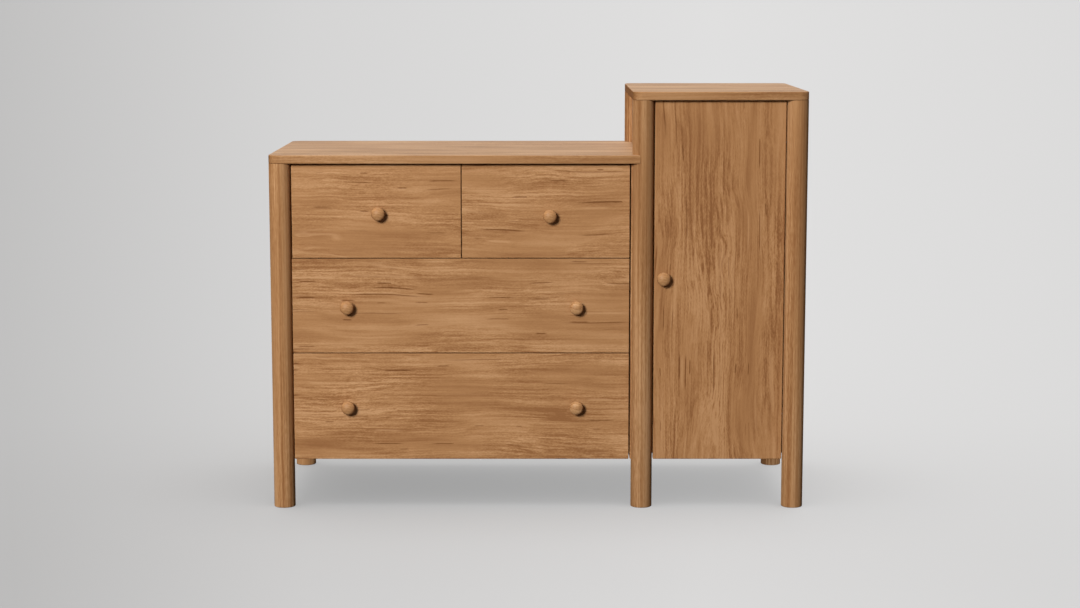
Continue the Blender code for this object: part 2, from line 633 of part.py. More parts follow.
def add_hinge(name, arm_z):
    """A pivot hinge: the foot is screwed to the side, the arm goes round the post into the door."""
    half = ARM_WIDTH / 2
    elbow_y = INSIDE_FRONT_Y + FIT + ARM_WIDTH
    foot_x = CABINET_RIGHT_X - FIT
    outline = []
    for step in range(CORNER_SEGMENTS + 1):
        angle = math.pi + math.pi * step / CORNER_SEGMENTS
        outline.append((hinge_x + half * math.cos(angle), hinge_y + half * math.sin(angle)))
    outline += [(hinge_x + half, elbow_y - ARM_WIDTH), (foot_x - FOOT_THICKNESS / 2, elbow_y - ARM_WIDTH)]
    outline += [(foot_x - FOOT_THICKNESS / 2, elbow_y), (hinge_x - half, elbow_y)]
    arm = add_prism(name, outline, arm_z, arm_z + ARM_THICKNESS, STEEL)
    foot_z = arm_z + ARM_THICKNESS / 2
    foot = add_board(
        f"{name}_foot",
        (foot_x - FOOT_THICKNESS, elbow_y - ARM_WIDTH, foot_z - FOOT_HEIGHT / 2),
        (foot_x, elbow_y - ARM_WIDTH + FOOT_LENGTH, foot_z + FOOT_HEIGHT / 2),
    )
    pintle_foot = arm_z + ARM_THICKNESS / 2
    pintle_top = arm_z + ARM_THICKNESS + PINTLE_LENGTH
    profile = [(PINTLE_RADIUS, pintle_foot), (PINTLE_RADIUS, pintle_top)]
    pintle = add_turned(f"{name}_pintle", profile, (hinge_x, hinge_y, 0.0), None, HOLE_SEGMENTS)
    combine(arm, foot, "UNION")
    combine(arm, pintle, "UNION")

    # Mortise in the door, open to its back and edge and tall enough to hang the door before the top is fitted
    reach = half + RUN
    low = (hinge_x - reach, hinge_y - reach, arm_z - PINTLE_LENGTH - RUN)
    high = (DOOR_RIGHT_X + CUT_MARGIN, FRONT_BACK_Y + CUT_MARGIN, arm_z + ARM_THICKNESS + FIT)
    cut_box(door_panel, f"{name}_mortise", low, high)
    bore_top = pintle_top + RUN
    cut_round(
        door_panel,
        f"{name}_bore",
        (hinge_x, hinge_y),
        PINTLE_RADIUS + PIN_RUN,
        arm_z,
        bore_top,
        HOLE_SEGMENTS,
    )


add_hinge("lower_hinge", LEG_HEIGHT + HINGE_FROM_END)
add_hinge("upper_hinge", door_top_z - HINGE_FROM_END)

# Catch under the tall top, and the strike plate on the door that it holds
catch_x = DOOR_LEFT_X + CATCH_FROM_EDGE
strike_y = FRONT_BACK_Y + FIT
catch_y = strike_y + STRIKE_SIZE[1] + FIT
catch_top_z = TALL_UNDER - FIT
add_board(
    "door_catch",
    (catch_x, catch_y, catch_top_z - CATCH_SIZE[2]),
    (catch_x + CATCH_SIZE[0], catch_y + CATCH_SIZE[1], catch_top_z),
    CATCH_PLASTIC,
)
strike_x = catch_x + (CATCH_SIZE[0] - STRIKE_SIZE[0]) / 2
strike_top_z = door_top_z - FRONT_EASING - FIT
door_strike = add_board(
    "door_strike",
    (strike_x, strike_y, strike_top_z - STRIKE_SIZE[2]),
    (strike_x + STRIKE_SIZE[0], strike_y + STRIKE_SIZE[1], strike_top_z),
    STEEL,
)
attach([door_panel, door_knob, door_strike], "door_hinge_axis", (hinge_x, hinge_y, door_middle_z))
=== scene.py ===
"""Looks of a tall dresser: a low chest of four drawers joined to a tall one-door cabinet on round posts.

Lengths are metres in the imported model's own frame: +Z is up and the front faces -Y.
"""
import json
import math

import bmesh
import bpy
from mathutils import Matrix, Vector

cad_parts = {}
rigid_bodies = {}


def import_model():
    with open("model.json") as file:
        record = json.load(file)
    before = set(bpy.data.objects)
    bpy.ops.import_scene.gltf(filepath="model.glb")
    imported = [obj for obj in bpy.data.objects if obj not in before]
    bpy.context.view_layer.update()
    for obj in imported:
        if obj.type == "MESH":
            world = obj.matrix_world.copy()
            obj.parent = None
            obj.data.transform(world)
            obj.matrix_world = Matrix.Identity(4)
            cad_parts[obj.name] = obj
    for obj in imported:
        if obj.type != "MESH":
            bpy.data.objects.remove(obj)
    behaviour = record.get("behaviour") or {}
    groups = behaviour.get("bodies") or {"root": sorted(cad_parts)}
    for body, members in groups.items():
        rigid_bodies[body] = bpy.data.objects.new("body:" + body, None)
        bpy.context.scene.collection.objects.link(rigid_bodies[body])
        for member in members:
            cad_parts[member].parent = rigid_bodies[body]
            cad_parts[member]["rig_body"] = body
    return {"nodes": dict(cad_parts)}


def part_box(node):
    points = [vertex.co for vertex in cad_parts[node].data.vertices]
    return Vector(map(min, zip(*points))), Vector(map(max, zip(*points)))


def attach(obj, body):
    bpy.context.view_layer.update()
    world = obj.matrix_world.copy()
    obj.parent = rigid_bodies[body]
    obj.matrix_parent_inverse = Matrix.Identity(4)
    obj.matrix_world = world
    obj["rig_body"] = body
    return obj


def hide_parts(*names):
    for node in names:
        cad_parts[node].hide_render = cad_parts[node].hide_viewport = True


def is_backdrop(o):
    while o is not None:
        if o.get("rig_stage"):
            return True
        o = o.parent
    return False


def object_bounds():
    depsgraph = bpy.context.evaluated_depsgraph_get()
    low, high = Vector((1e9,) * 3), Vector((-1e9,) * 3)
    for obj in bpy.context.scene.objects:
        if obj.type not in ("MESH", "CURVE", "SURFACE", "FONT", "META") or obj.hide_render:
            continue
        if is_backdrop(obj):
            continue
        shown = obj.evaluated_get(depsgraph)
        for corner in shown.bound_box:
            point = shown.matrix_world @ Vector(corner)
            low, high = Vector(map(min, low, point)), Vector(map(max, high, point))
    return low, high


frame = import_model()
cad_low, cad_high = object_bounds()
scene = bpy.context.scene
scene.view_settings.view_transform = "Standard"


# Camera. A long lens stands about five metres in front of the posts, level from side to side and pitched down
# by eight degrees, as fitted to the edges in the photograph.
post_front_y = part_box("front_post_left")[0].y
camera_distance = 4.9655
camera_height = 1.1872
camera_right = 0.0041
camera_pitch = math.radians(8.038)
camera_data = bpy.data.cameras.new("photo_camera")
camera_data.sensor_width = 36.0
camera_data.lens = 71.816
camera = bpy.data.objects.new("photo_camera", camera_data)
camera.location = (camera_right, post_front_y - camera_distance, camera_height)
camera.rotation_euler = (math.pi / 2 - camera_pitch, 0.0, 0.0)
scene.collection.objects.link(camera)
scene.camera = camera


# Floor and studio. A plain pale floor runs out to a backdrop of the same grey, a little lighter to the right.
# What the floor shows is its own glow plus the light of two lamps of its own, so only their soft shadows
# fall on it.
def linear(red, green, blue):
    """A screen colour from 0 to 255 as the linear values that shaders take."""
    values = []
    for screen_value in (red, green, blue):
        share = screen_value / 255
        values.append(share / 12.92 if share <= 0.04045 else ((share + 0.055) / 1.055) ** 2.4)
    return tuple(values)


def add_node(tree, kind, inputs=None, **settings):
    """A node with its settings, and its inputs set to values or linked to other nodes' outputs."""
    node = tree.nodes.new(kind)
    for name, value in settings.items():
        setattr(node, name, value)
    for name, value in (inputs or {}).items():
        if isinstance(value, bpy.types.NodeSocket):
            tree.links.new(value, node.inputs[name])
        else:
            node.inputs[name].default_value = value
    return node


def calculate(tree, operation, *values):
    """The result of a Math node on numbers or sockets."""
    return add_node(tree, "ShaderNodeMath", dict(enumerate(values)), operation=operation).outputs[0]


def seen_directly(tree):
    """1 for rays that show the stage itself, straight or in a reflection; 0 for light that it bounces."""
    path = add_node(tree, "ShaderNodeLightPath")
    seen = calculate(tree, "MAXIMUM", path.outputs["Is Camera Ray"], path.outputs["Is Glossy Ray"])
    return calculate(tree, "MAXIMUM", seen, path.outputs["Is Transmission Ray"])


def backdrop_grey(tree, across):
    """The backdrop's grey, which rises from left to right with the sideways slope of the line of sight."""
    edge_slope = 0.25
    slopes = {"Value": across, "From Min": -edge_slope, "From Max": edge_slope}
    share = add_node(tree, "ShaderNodeMapRange", slopes)
    ramp = add_node(tree, "ShaderNodeValToRGB", {"Fac": share.outputs["Result"]})
    stops = ramp.color_ramp.elements
    for position in (0.28, 0.66):
        stops.new(position)
    for stop, grey in zip(stops, (191, 211, 222, 218)):
        stop.color = (*linear(grey, grey, grey), 1.0)
    return ramp.outputs["Color"]


floor_reach = 2000.0
shape = bmesh.new()
bmesh.ops.create_circle(shape, cap_ends=True, radius=floor_reach, segments=96)
floor_mesh = bpy.data.meshes.new("floor")
shape.to_mesh(floor_mesh)
shape.free()
floor = bpy.data.objects.new("floor", floor_mesh)
scene.collection.objects.link(floor)
floor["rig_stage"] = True

# Metres from the camera: the nearest floor in the picture, and where the floor rises to its full grey
nearest_floor = 4.1
foreground = {"From Min": 4.3, "From Max": 6.0, "To Min": 0.955, "To Max": 1.0}
floor_albedo = 0.2
floor_bounce = 0.04
close_shade = 0.10
wide_shade = 0.22
floor_paint = bpy.data.materials.new("floor_paint")
floor_paint.use_nodes = True
tree = floor_paint.node_tree
tree.nodes.clear()
place = add_node(tree, "ShaderNodeTexCoord").outputs["Object"]
axes = add_node(tree, "ShaderNodeSeparateXYZ", {0: place})
past_nearest = calculate(tree, "SUBTRACT", axes.outputs["Y"], camera.location.y + nearest_floor)
away = calculate(tree, "ADD", calculate(tree, "ABSOLUTE", past_nearest), nearest_floor)
across = calculate(tree, "DIVIDE", axes.outputs["X"], away)
nearness = add_node(tree, "ShaderNodeMapRange", {"Value": away, **foreground})
floor_grey = calculate(tree, "MULTIPLY", backdrop_grey(tree, across), nearness.outputs["Result"])
glow = calculate(tree, "SUBTRACT", floor_grey, close_shade + wide_shade)
lit = add_node(tree, "ShaderNodeBsdfDiffuse", {"Color": (floor_albedo, floor_albedo, floor_albedo, 1.0)})
shown = add_node(tree, "ShaderNodeEmission", {"Strength": glow})
seen_floor = add_node(tree, "ShaderNodeAddShader", {0: lit.outputs[0], 1: shown.outputs[0]})
dim = add_node(tree, "ShaderNodeBsdfDiffuse", {"Color": (floor_bounce, floor_bounce, floor_bounce, 1.0)})
mixed = add_node(
    tree, "ShaderNodeMixShader", {0: seen_directly(tree), 1: dim.outputs[0], 2: seen_floor.outputs[0]}
)
add_node(tree, "ShaderNodeOutputMaterial", {"Surface": mixed.outputs[0]})
floor_mesh.materials.append(floor_paint)

ambient_light = (0.078, 0.054, 0.041, 1.0)
least_ahead = 0.2
world = bpy.data.worlds.new("studio")
world.use_nodes = True
scene.world = world
tree = world.node_tree
tree.nodes.clear()
ray = add_node(tree, "ShaderNodeTexCoord").outputs["Generated"]
axes = add_node(tree, "ShaderNodeSeparateXYZ", {0: ray})
ahead = calculate(tree, "MAXIMUM", calculate(tree, "ABSOLUTE", axes.outputs["Y"]), least_ahead)
across = calculate(tree, "DIVIDE", axes.outputs["X"], ahead)
fill = add_node(tree, "ShaderNodeBackground", {"Color": ambient_light})
backdrop = add_node(tree, "ShaderNodeBackground", {"Color": backdrop_grey(tree, across)})
mixed = add_node(
    tree, "ShaderNodeMixShader", {0: seen_directly(tree), 1: fill.outputs[0], 2: backdrop.outputs[0]}
)
add_node(tree, "ShaderNodeOutputWorld", {"Surface": mixed.outputs[0]})


# Lamps. A broad key lamp stands on the front left, with weaker suns overhead and behind. The rear right leg,
# which the front posts shade, and the right-hand side have a fill lamp each.
floor_only = bpy.data.collections.new("floor_only")
rear_leg_only = bpy.data.collections.new("rear_leg_only")
right_side_only = bpy.data.collections.new("right_side_only")
all_but_floor = bpy.data.collections.new("all_but_floor")
for group in (floor_only, all_but_floor):
    group.objects.link(floor)
all_but_floor.collection_objects[0].light_linking.link_state = "EXCLUDE"
object_middle = (cad_low + cad_high) / 2


def add_lamp(name, kind, toward, level, size, distance=4.0, lights=all_but_floor):
    """A lamp on the side named by toward, at the level that shows a facing surface in its own colour at 1.

    Size is the angle of a sun or the width of an area lamp.
    """
    lamp = bpy.data.lights.new(name, kind)
    toward = Vector(toward).normalized()
    if kind == "SUN":
        lamp.energy = level * math.pi
        lamp.angle = size
    else:
        lamp.shape = "DISK"
        lamp.size = size
        lamp.energy = level * math.pi**2 * distance**2
    holder = bpy.data.objects.new(name, lamp)
    holder.location = object_middle + toward * distance
    holder.rotation_euler = toward.to_track_quat("Z", "Y").to_euler()
    scene.collection.objects.link(holder)
    holder.light_linking.receiver_collection = lights
    return holder


upward = (0.0, 0.0, 1.0)
add_lamp("key_lamp", "AREA", (-0.365, -0.86, 0.36), 1.0, size=2.6, distance=9.0)
add_lamp("overhead_light", "SUN", (-0.12, 0.0, 0.99), 0.73, size=math.radians(10))
add_lamp("low_fill", "SUN", (-0.13, -1.0, 0.03), 0.50, size=math.radians(3), lights=rear_leg_only)
add_lamp("side_fill", "SUN", (1.0, 0.25, 0.15), 0.30, size=math.radians(20), lights=right_side_only)
for side, toward, level in (("left", (-0.30, 0.95, 0.0), 0.45), ("right", (0.38, 0.92, 0.0), 0.35)):
    rear_light = add_lamp(f"rear_{side}_light", "SUN", toward, level, size=math.radians(40))
    rear_light.visible_glossy = False
for name, shade, spread in (("close", close_shade, 50), ("wide", wide_shade, 160)):
    level = shade / floor_albedo
    add_lamp(f"{name}_shadow_light", "SUN", upward, level, size=math.radians(spread), lights=floor_only)


# Posts. Six round posts are turned from solid hardwood with the grain running up them, oiled to a warm honey
# brown. Their feet are eased, and their upper ends carry the tops on hidden tenons.
def add_sockets(group, in_out, kinds):
    """Sockets on one side of a node group, from a table of their names and kinds."""
    for name, kind in kinds.items():
        group.interface.new_socket(name, in_out=in_out, socket_type=f"NodeSocket{kind}")


def wood_group():
    """Sawn wood as a solid pattern: growth layers round a heart line along X, fine lines, dashes, pores."""
    group = bpy.data.node_groups.new("wood_figure", "ShaderNodeTree")
    inputs = {
        "Grain": "Vector",
        "Facing": "Vector",
        "Light Colour": "Color",
        "Middle Colour": "Color",
        "Dark Colour": "Color",
        "Figure": "Float",
        "Streaks": "Float",
        "Waves": "Float",
        "Length": "Float",
        "Roughness": "Float",
        "Painted_sheen": "Float",
    }
    add_sockets(group, "INPUT", inputs)
    add_sockets(group, "OUTPUT", {"Colour": "Color", "Roughness": "Float", "Height": "Float"})
    given = group.nodes.new("NodeGroupInput").outputs
    grain = add_node(group, "ShaderNodeSeparateXYZ", {0: given["Grain"]}).outputs
    facing = add_node(group, "ShaderNodeSeparateXYZ", {0: given["Facing"]}).outputs

    def noise(along, across, through=None, detail=2.0):
        """Soft noise from -1 to 1, on three axes or, without through, on two."""
        flat = through is None
        vector = add_node(group, "ShaderNodeCombineXYZ", {0: along, 1: across, 2: 0.0 if flat else through})
        texture = add_node(
            group,
            "ShaderNodeTexNoise",
            {"Vector": vector.outputs[0], "Scale": 1.0, "Detail": detail},
            noise_dimensions="2D" if flat else "3D",
        )
        return calculate(group, "MULTIPLY_ADD", texture.outputs[0], 2.0, -1.0)

    def times(value, factor):
        return calculate(group, "MULTIPLY", value, factor)

    def plus(first, second):
        return calculate(group, "ADD", first, second)

    def weighted(*parts):
        """The sum of some values, each times its weight."""
        total = times(*parts[0])
        for value, weight in parts[1:]:
            total = plus(total, times(value, weight))
        return total

    def step(value, low, high):
        """A soft step from 0 to 1 between two values."""
        limits = {"Value": value, "From Min": low, "From Max": high}
        return add_node(group, "ShaderNodeMapRange", limits, interpolation_type="SMOOTHSTEP").outputs[0]

    def blend(factor, first, second, mode="MIX"):
        """Two colours blended by a factor."""
        node = add_node(group, "ShaderNodeMix", data_type="RGBA", blend_type=mode)
        for socket, value in zip((node.inputs[0], node.inputs[6], node.inputs[7]), (factor, first, second)):
            if isinstance(value, bpy.types.NodeSocket):
                group.links.new(value, socket)
            else:
                socket.default_value = value
        return node.outputs[2]

    def ramp(value, low, high):
        """A straight rise from 0 to 1 between two values."""
        limits = {"Value": value, "From Min": low, "From Max": high}
        return add_node(group, "ShaderNodeMapRange", limits).outputs[0]

    # The grain wanders along the board and curls in a few places; growth layers lie round the heart line
    along = calculate(group, "DIVIDE", grain[0], given["Length"])

    def drawn_out(along_rate, across_rate, across=grain[1], through=grain[2], detail=2.0):
        """Noise drawn out along the board, the same on all its faces; the rates are spots in a metre."""
        place = (times(along, along_rate), times(across, across_rate), times(through, across_rate))
        return noise(*place, detail=detail)

    wave = drawn_out(1.5, 5.0)
    sway = drawn_out(4.5, 8.0)
    ripple = drawn_out(11.0, 26.0)
    curled = step(drawn_out(2.6, 10.0), 0.22, 0.42)
    drift = times(weighted((wave, 0.030), (sway, 0.010)), given["Waves"])
    curl_size = plus(times(curled, 0.008), 0.0004)
    curl = times(times(ripple, curl_size), given["Waves"])
    wander = plus(drift, curl)
    across = plus(grain[1], wander)
    through = plus(grain[2], wander)
    layer = calculate(group, "SQRT", plus(times(across, across), times(through, through)))

    def fibrous(along_rate, across_rate):
        """Noise drawn out along the grain as it wanders."""
        return drawn_out(along_rate, across_rate, across, through, detail=1.0)

    # Broad clouds, growth layers, ribbons, fine lines and short flecks make up the tone; in some zones the
    # fine lines stand out and in others the wood is calm; faces under the painted sheen need a stronger
    # figure
    clouds = fibrous(4.5, 18.0)
    layers = noise(times(along, 2.6), times(layer, 42.0))
    ribbons = fibrous(4.0, 66.0)
    lines = fibrous(3.0, 240.0)
    flecks = fibrous(55.0, 420.0)
    fibres = fibrous(200.0, 600.0)
    broad = weighted((clouds, 0.76), (layers, 0.56), (ribbons, 0.72))
    busy = plus(times(ramp(fibrous(3.5, 13.0), -0.3, 0.3), 1.4), 0.35)
    fine = times(weighted((lines, 1.05), (flecks, 0.50), (fibres, 0.60)), busy)
    # Faces that look up get a painted sheen: a share of a pale colour that stands in for the studio's
    # reflection
    face_up = step(facing[2], 0.7, 0.95)
    painted_sheen_share = times(given["Painted_sheen"], face_up)
    strength = times(given["Figure"], plus(times(painted_sheen_share, 6.2), 1.0))
    tone = times(plus(broad, fine), strength)

    def dashes(along_rate, across_rate, length, width, share):
        """Thin tapered dashes of mixed lengths along the grain, at most one in a cell of a stretched grid.

        Length and width are half of the largest dash, in cells, and share is how many of the cells have one.
        """
        slant = plus(plus(grain[1], times(grain[2], 0.5)), times(drift, 0.4))
        places = {0: times(along, along_rate), 1: times(slant, across_rate)}
        place = add_node(group, "ShaderNodeCombineXYZ", places).outputs[0]
        cell = add_node(
            group, "ShaderNodeTexVoronoi", {"Vector": place, "Scale": 1.0}, voronoi_dimensions="2D"
        ).outputs
        ends = {0: place, 1: cell["Position"]}
        from_middle = add_node(group, "ShaderNodeVectorMath", ends, operation="SUBTRACT").outputs[0]
        offset = add_node(group, "ShaderNodeSeparateXYZ", {0: from_middle}).outputs
        chance = add_node(group, "ShaderNodeSeparateColor", {0: cell["Color"]}).outputs
        reach = times(plus(times(chance[1], 0.8), 0.2), length)
        ending = calculate(group, "DIVIDE", calculate(group, "ABSOLUTE", offset[0]), reach)
        taper = step(ending, 1.0, 0.4)
        slim = calculate(group, "ABSOLUTE", offset[1])
        body = step(slim, width, 0.3 * width)
        return times(times(body, taper), ramp(chance[0], 1.0 - share, 1.0))

    # Thin dark and pale lines, pale gleams in curled zones and pores
    long_dashes = dashes(along_rate=4.0, across_rate=66.0, length=0.48, width=0.070, share=0.34)
    short_dashes = dashes(along_rate=11.0, across_rate=110.0, length=0.42, width=0.10, share=0.24)
    pale_dashes = dashes(along_rate=4.0, across_rate=52.0, length=0.45, width=0.09, share=0.5)
    dark = times(plus(long_dashes, short_dashes), given["Streaks"])
    pale = times(pale_dashes, given["Streaks"])
    gleam_course = calculate(group, "ABSOLUTE", fibrous(6.0, 70.0))
    gleams = times(step(gleam_course, 0.16, 0.0), curled)
    pores = step(fibrous(60.0, 900.0), 0.28, 0.5)

    dash_tint = (0.52, 0.43, 0.36, 1.0)
    pore_tint = (0.62, 0.54, 0.46, 1.0)
    end_grain_tint = (0.62, 0.55, 0.48, 1.0)
    painted_sheen_colour = (0.64, 0.62, 0.52, 1.0)
    full_tone = 0.8
    colour = blend(ramp(tone, 0.0, full_tone), given["Middle Colour"], given["Light Colour"])
    colour = blend(ramp(tone, 0.0, -full_tone), colour, given["Dark Colour"])
    colour = blend(times(plus(gleams, pale), 0.5), colour, given["Light Colour"])
    colour = blend(dark, colour, dash_tint, "MULTIPLY")
    colour = blend(times(pores, 0.35), colour, pore_tint, "MULTIPLY")
    end_grain = calculate(group, "POWER", calculate(group, "ABSOLUTE", facing[0]), 4.0)
    colour = blend(end_grain, colour, end_grain_tint, "MULTIPLY")
    # Painted sheen: upper faces are blended a share toward a pale colour instead of showing a reflection
    colour = blend(painted_sheen_share, colour, painted_sheen_colour)

    uneven = plus(times(tone, -0.05), times(pores, 0.12))
    roughness = plus(plus(given["Roughness"], uneven), times(end_grain, 0.3))
    raised = weighted((fibres, 0.25), (flecks, 0.2), (lines, 0.2))
    height = plus(raised, times(plus(pores, dark), -0.5))
    results = {"Colour": colour, "Roughness": roughness, "Height": height}
    add_node(group, "NodeGroupOutput", results)
    return group


wood_figure = wood_group()
honey_colours = {
    "Light Colour": linear(196, 151, 108),
    "Middle Colour": linear(173, 127, 84),
    "Dark Colour": linear(146, 100, 62),
}
plain_looks = {
    "figure": 1.0,
    "streaks": 1.0,
    "waves": 1.0,
    "length": 1.0,
    "roughness": 0.55,
    "painted_sheen": 0.0,
}
grain_turns = {"X": (0.0, 0.0, 0.0), "Y": (0.0, 0.0, -math.pi / 2), "Z": (0.0, math.pi / 2, 0.0)}


def wood_material(name, node, grain, cut, colours=honey_colours, shade=1.0, shine=0.05, **looks):
    """Wood for one board, with its grain along the named axis.

    Cut is the place of the board's middle in its log: along the log, and two distances from its heart line.
    """
    low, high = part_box(node)
    turn = grain_turns[grain]
    middle = (low + high) / 2
    middle.rotate(Matrix.Rotation(turn[1], 3, "Y") @ Matrix.Rotation(turn[2], 3, "Z"))
    material = bpy.data.materials.new(name)
    material.use_nodes = True
    tree = material.node_tree
    shader = tree.nodes["Principled BSDF"]
    coordinates = add_node(tree, "ShaderNodeTexCoord").outputs
    place = add_node(
        tree,
        "ShaderNodeMapping",
        {"Vector": coordinates["Object"], "Location": Vector(cut) - middle, "Rotation": turn},
    )
    facing = add_node(
        tree, "ShaderNodeMapping", {"Vector": coordinates["Normal"], "Rotation": turn}, vector_type="VECTOR"
    )
    wood = tree.nodes.new("ShaderNodeGroup")
    wood.node_tree = wood_figure
    tree.links.new(place.outputs[0], wood.inputs["Grain"])
    tree.links.new(facing.outputs[0], wood.inputs["Facing"])
    for socket, colour in colours.items():
        wood.inputs[socket].default_value = (*(shade * value for value in colour), 1.0)
    for look, value in {**plain_looks, **looks}.items():
        wood.inputs[look.capitalize()].default_value = value
    bump = add_node(
        tree, "ShaderNodeBump", {"Height": wood.outputs["Height"], "Strength": 0.25, "Distance": 0.0004}
    )
    tree.links.new(wood.outputs["Colour"], shader.inputs["Base Color"])
    tree.links.new(wood.outputs["Roughness"], shader.inputs["Roughness"])
    tree.links.new(bump.outputs["Normal"], shader.inputs["Normal"])
    shader.inputs["Specular IOR Level"].default_value = shine
    return material


def give_material(node, material):
    """Puts a material on a CAD node, which keeps its shape."""
    for slot in frame["nodes"][node].material_slots:
        slot.material = material


def plain_piece(name, maker, body, nodes):
    """Turns what a piece's modifier makes into a plain mesh that rides on a body and replaces CAD nodes."""
    graph = bpy.context.evaluated_depsgraph_get()
    mesh = bpy.data.meshes.new_from_object(maker.evaluated_get(graph))
    maker.modifiers.clear()
    maker.data = mesh
    maker.name = name
    mesh.name = name
    mesh.shade_smooth()
    mesh.set_sharp_from_angle(angle=math.radians(35))
    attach(maker, body)
    if nodes:
        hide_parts(*nodes)
    return maker


def turned_solid(tree, line, places, radius, sides):
    """The closed solid that a lathe makes of rings at places with a radius each."""
    placed = add_node(tree, "GeometryNodeSetPosition", {"Geometry": line, "Position": places})
    curve = add_node(tree, "GeometryNodeMeshToCurve", {"Mesh": placed.outputs[0]})
    circle = add_node(tree, "GeometryNodeCurvePrimitiveCircle", {"Resolution": sides, "Radius": 1.0})
    solid = add_node(
        tree,
        "GeometryNodeCurveToMesh",
        {"Curve": curve.outputs[0], "Profile Curve": circle.outputs[0], "Scale": radius, "Fill Caps": True},
    )
    return solid.outputs[0]


def finish_tree(tree, geometry, material):
    """Ends a Geometry Nodes tree: instances become real and take the material."""
    real = add_node(tree, "GeometryNodeRealizeInstances", {"Geometry": geometry})
    painted = add_node(tree, "GeometryNodeSetMaterial", {"Geometry": real.outputs[0], "Material": material})
    add_node(tree, "NodeGroupOutput", {"Geometry": painted.outputs[0]})


def post_tree():
    """A turned post: rings climb a quarter-round foot and then run straight to the shoulder."""
    tree = bpy.data.node_groups.new("turned_post", "GeometryNodeTree")
    inputs = {
        "Radius": "Float",
        "Foot Easing": "Float",
        "Foot": "Vector",
        "Shoulder": "Vector",
        "Easing Rings": "Int",
        "Sides": "Int",
        "Wood": "Material",
    }
    add_sockets(tree, "OUTPUT", {"Geometry": "Geometry"})
    add_sockets(tree, "INPUT", inputs)
    given = tree.nodes.new("NodeGroupInput").outputs
    rings = calculate(tree, "ADD", given["Easing Rings"], 2.0)
    line = add_node(tree, "GeometryNodeMeshLine", {"Count": rings})
    index = add_node(tree, "GeometryNodeInputIndex").outputs[0]
    share = calculate(tree, "MINIMUM", calculate(tree, "DIVIDE", index, given["Easing Rings"]), 1.0)
    angle = calculate(tree, "MULTIPLY", share, math.pi / 2)
    climbed = calculate(tree, "SUBTRACT", 1.0, calculate(tree, "COSINE", angle))
    lift = calculate(tree, "MULTIPLY", climbed, given["Foot Easing"])
    step = add_node(tree, "ShaderNodeCombineXYZ", {2: lift})
    eased = add_node(tree, "ShaderNodeVectorMath", {0: given["Foot"], 1: step.outputs[0]})
    last = add_node(tree, "FunctionNodeCompare", {0: index, 1: given["Easing Rings"]})
    where = add_node(
        tree,
        "GeometryNodeSwitch",
        {"Switch": last.outputs[0], "False": eased.outputs[0], "True": given["Shoulder"]},
        input_type="VECTOR",
    )
    drawn_in = calculate(tree, "SUBTRACT", 1.0, calculate(tree, "SINE", angle))
    cut_away = calculate(tree, "MULTIPLY", drawn_in, given["Foot Easing"])
    radius = calculate(tree, "SUBTRACT", given["Radius"], cut_away)
    solid = turned_solid(tree, line.outputs[0], where.outputs[0], radius, given["Sides"])
    finish_tree(tree, solid, given["Wood"])
    return tree


turned_post = post_tree()


def node_maker(tree, values, points=()):
    """An object with some points and a Geometry Nodes modifier whose inputs are set before it first runs."""
    mesh = bpy.data.meshes.new(tree.name)
    mesh.from_pydata(points, [], [])
    maker = bpy.data.objects.new(tree.name, mesh)
    modifier = maker.modifiers.new(tree.name, "NODES")
    modifier.node_group = tree
    for item in tree.interface.items_tree:
        if item.item_type == "SOCKET" and item.in_out == "INPUT" and item.name in values:
            modifier[item.identifier] = values[item.name]
    scene.collection.objects.link(maker)
    return maker


post_radius = 0.025
post_easing = 0.002
tenon_length = 0.012
panel_low, panel_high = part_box("cabinet_left_panel")
post_columns = {
    "left": cad_low.x + post_radius,
    "middle": (panel_low.x + panel_high.x) / 2,
    "right": cad_high.x - post_radius,
}
post_rows = {"front": post_front_y + post_radius, "rear": cad_high.y - post_radius}
# Each post's shade scales its colours: painted light and shade, the rear middle post darkened most against
# bounced light
post_shades = {
    "front": {"left": 0.975, "middle": 0.885, "right": 0.975},
    "rear": {"left": 1.0, "middle": 0.87, "right": 0.90},
}
post_looks = {"figure": 1.15, "streaks": 0.8, "waves": 0.3, "length": 3.0, "shine": 0.01}
post_places = [(row, column) for row in post_rows for column in post_columns]
posts = {}
for number, (row, column) in enumerate(post_places):
    post = f"{row}_post_{column}"
    x = post_columns[column]
    y = post_rows[row]
    low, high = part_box(post)
    cut = (0.9 * number, 0.05, 0.16)
    shade = post_shades[row][column]
    inputs = {
        "Radius": post_radius,
        "Foot Easing": post_easing,
        "Foot": (x, y, low.z),
        "Shoulder": (x, y, high.z - tenon_length),
        "Easing Rings": 6,
        "Sides": 96,
        "Wood": wood_material(f"{post}_wood", post, "Z", cut, shade=shade, **post_looks),
    }
    posts[post] = plain_piece(f"{post}_turned", node_maker(turned_post, inputs), "case", [post])
rear_leg_only.objects.link(posts["rear_post_right"])
right_side_only.objects.link(posts["rear_post_right"])


# Side panels. Solid boards with upright grain stand in grooves in the posts; the chest's right-hand one shows
# only the edge that lies beside the middle post.
side_panels = ("left_side_panel", "cabinet_left_panel", "right_side_panel", "chest_right_panel")
for number, panel in enumerate(side_panels):
    give_material(panel, wood_material(f"{panel}_wood", panel, "Z", (0.7 * number, 0.06, 0.12)))
right_side_only.objects.link(frame["nodes"]["right_side_panel"])
